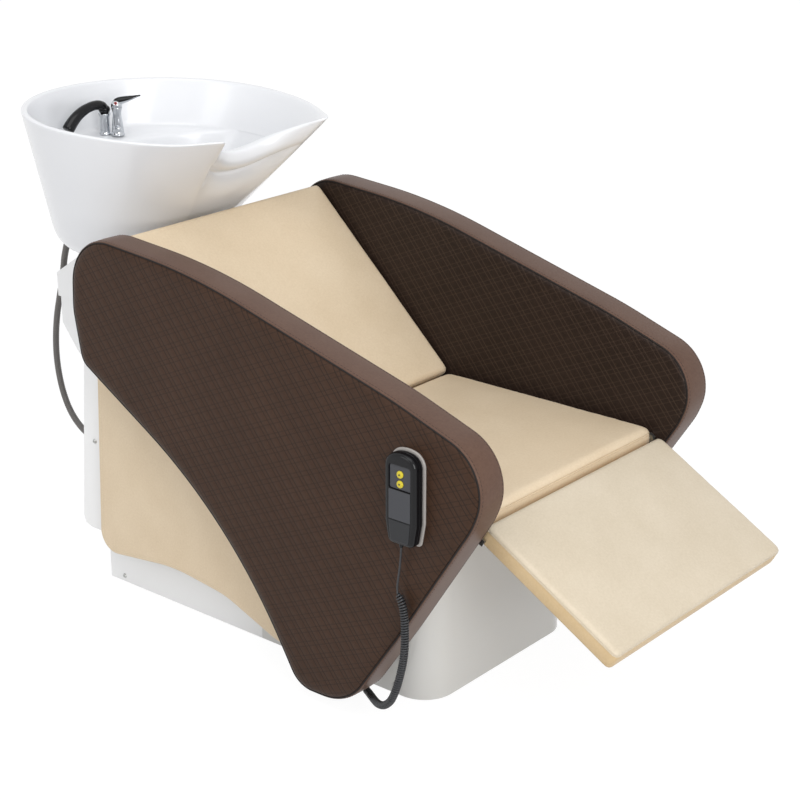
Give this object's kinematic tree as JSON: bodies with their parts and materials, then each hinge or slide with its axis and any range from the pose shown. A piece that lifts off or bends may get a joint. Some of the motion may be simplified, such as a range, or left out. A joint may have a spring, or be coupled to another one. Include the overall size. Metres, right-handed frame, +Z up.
{
  "type": "salon wash unit",
  "caption": "Upholstered salon shampoo seat with quilted side arms, a powered leg rest, a tilting ceramic basin with tap and hand shower, and a wired handset.",
  "frame": {"origin": "on the floor, under the middle of the base", "axes": "+Z up; the sitter faces -Y and the basin is at +Y; +X is at the sitter's left hand"},
  "size_m": [0.7128, 1.6126, 0.9461],
  "materials": {
    "beige_leather": "satin",
    "light_beige_leather": "satin",
    "brown_leather": "satin",
    "quilted_leather": "satin",
    "plywood": "satin",
    "black_steel": "satin",
    "zinc_steel": "satin",
    "white_casing": "gloss",
    "white_fireclay": "gloss",
    "chrome": "gloss",
    "black_gloss": "gloss",
    "black_matt": "matte",
    "dark_grey_matt": "matte",
    "yellow_gloss": "gloss",
    "grey_hose": "satin",
    "grey_pvc": "matte",
    "black_rubber": "matte"
  },
  "bodies": {
    "base": {"floor_plate": "black_steel", "service_bracket": "black_steel", "frame_uprights": "black_steel", "frame_rails": "black_steel", "frame_bars": "black_steel", "basin_post": "black_steel", "rear_base_panel": "white_casing", "front_apron": "white_casing", "base_screws": "zinc_steel", "rear_cover": "white_casing", "side_panel_right": "beige_leather", "side_panel_left": "beige_leather", "arm_spacers": "black_steel", "arm_board_right": "plywood", "arm_band_right": "brown_leather", "arm_outer_pad_right": "quilted_leather", "arm_inner_pad_right": "quilted_leather", "arm_board_left": "plywood", "arm_band_left": "brown_leather", "arm_outer_pad_left": "quilted_leather", "arm_inner_pad_left": "quilted_leather", "seat_board": "plywood", "seat_cushion": "beige_leather", "back_board": "plywood", "back_cushion": "beige_leather", "hinge_plates": "zinc_steel", "hinge_pins": "zinc_steel", "actuator_housing": "dark_grey_matt", "actuator_motor": "dark_grey_matt", "control_box": "dark_grey_matt", "lower_shroud": "white_casing", "tilt_pin": "zinc_steel", "waste_hose": "grey_pvc", "waste_outlet": "grey_pvc", "water_inlets": "chrome", "shower_hose": "grey_hose", "hose_grommet": "black_rubber", "remote_holder": "dark_grey_matt", "remote_cord": "black_rubber", "cord_gland": "black_matt"},
    "leg_rest": {"leg_rest_brackets": "zinc_steel", "leg_rest_board": "plywood", "leg_rest_cushion": "light_beige_leather", "leg_rest_crank": "zinc_steel"},
    "basin_tilt": {"upper_shroud": "white_casing", "basin_carrier": "zinc_steel", "basin": "white_fireclay", "basin_waste": "chrome", "tap_body": "chrome", "shower_holder": "chrome"},
    "actuator_rod": {"actuator_rod": "zinc_steel"},
    "tap_cap": {"tap_cap": "chrome"},
    "tap_lever": {"tap_lever": "black_gloss"},
    "hand_shower": {"hand_shower": "black_gloss"},
    "strainer": {"strainer": "chrome"},
    "remote": {"remote_casing": "black_gloss", "remote_keypad": "dark_grey_matt"},
    "button_up": {"button_up": "yellow_gloss"},
    "button_down": {"button_down": "yellow_gloss"}
  },
  "joints": [
    {"name": "leg_rest_hinge", "type": "hinge", "parent": "base", "child": "leg_rest", "pos_m": [0, -0.548, 0.402], "axis": [1, 0, 0], "range_deg": [-29.6, 58]},
    {"name": "actuator_slide", "type": "slide", "parent": "base", "child": "actuator_rod", "axis": [0, -1, 0], "range_m": [-0.0755, 0.0385]},
    {"name": "basin_tilt_hinge", "type": "hinge", "parent": "base", "child": "basin_tilt", "pos_m": [0, 0.54, 0.496], "axis": [1, 0, 0], "range_deg": [-8, 0], "deforming": ["waste_hose", "shower_hose"]},
    {"name": "tap_swivel", "type": "hinge", "parent": "basin_tilt", "child": "tap_cap", "pos_m": [0.041, 0.622, 0.904], "axis": [0, 0, 1], "range_deg": [-45, 45]},
    {"name": "tap_lift", "type": "hinge", "parent": "tap_cap", "child": "tap_lever", "pos_m": [0.041, 0.622, 0.9141], "axis": [-0.6691, -0.7431, 0], "range_deg": [0, 25]},
    {"name": "hand_shower_lift", "type": "slide", "parent": "basin_tilt", "child": "hand_shower", "axis": [0, 0, 1], "range_m": [0, 0.04]},
    {"name": "strainer_lift", "type": "slide", "parent": "basin_tilt", "child": "strainer", "axis": [0, 0, 1], "range_m": [0, 0.03]},
    {"name": "remote_lift", "type": "slide", "parent": "base", "child": "remote", "axis": [-1, 0, 0], "range_m": [0, 0.05], "deforming": ["remote_cord"]},
    {"name": "button_up_press", "type": "slide", "parent": "remote", "child": "button_up", "axis": [1, 0, 0], "range_m": [0, 0.0015], "stiffness_N_per_m": 400, "springref_m": -0.001},
    {"name": "button_down_press", "type": "slide", "parent": "remote", "child": "button_down", "axis": [1, 0, 0], "range_m": [0, 0.0015], "stiffness_N_per_m": 400, "springref_m": -0.001}
  ],
  "couplings": [
    {"joint": "actuator_slide", "follows": "leg_rest_hinge", "m_per_rad": -0.074}
  ]
}
